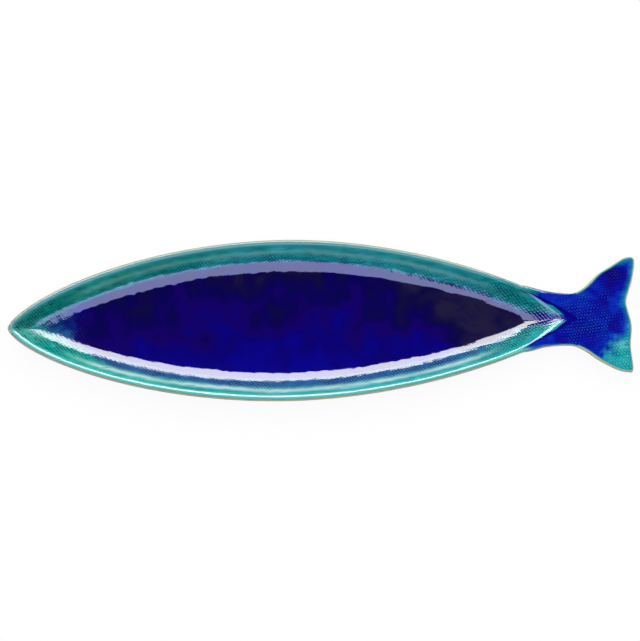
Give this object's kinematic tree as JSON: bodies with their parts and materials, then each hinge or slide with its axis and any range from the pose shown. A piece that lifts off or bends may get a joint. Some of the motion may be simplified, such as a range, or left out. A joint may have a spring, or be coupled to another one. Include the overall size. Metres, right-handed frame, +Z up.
{
  "type": "fish shaped platter",
  "caption": "Long narrow fish shaped serving dish in glazed stoneware, with a shallow pointed well, a tail fin and an oval foot ring.",
  "frame": {"origin": "centre of the bounding box in plan, on the plane that the foot ring stands on", "axes": "+X from the nose to the tail fin, +Z up out of the well, +Y across the fish, towards the higher fin lobe"},
  "size_m": [0.4282, 0.112, 0.024],
  "materials": {
    "bare_clay": "matte",
    "turquoise_glaze": "gloss",
    "cobalt_glaze": "gloss",
    "tail_glaze": "gloss",
    "underside_glaze": "gloss"
  },
  "bodies": {
    "root": {"stoneware_body": "bare_clay", "foot_ring": "bare_clay", "turquoise_glaze": "turquoise_glaze", "pool_glaze": "cobalt_glaze", "tail_glaze": "tail_glaze", "underside_glaze": "underside_glaze", "base_glaze": "underside_glaze"}
  },
  "joints": []
}
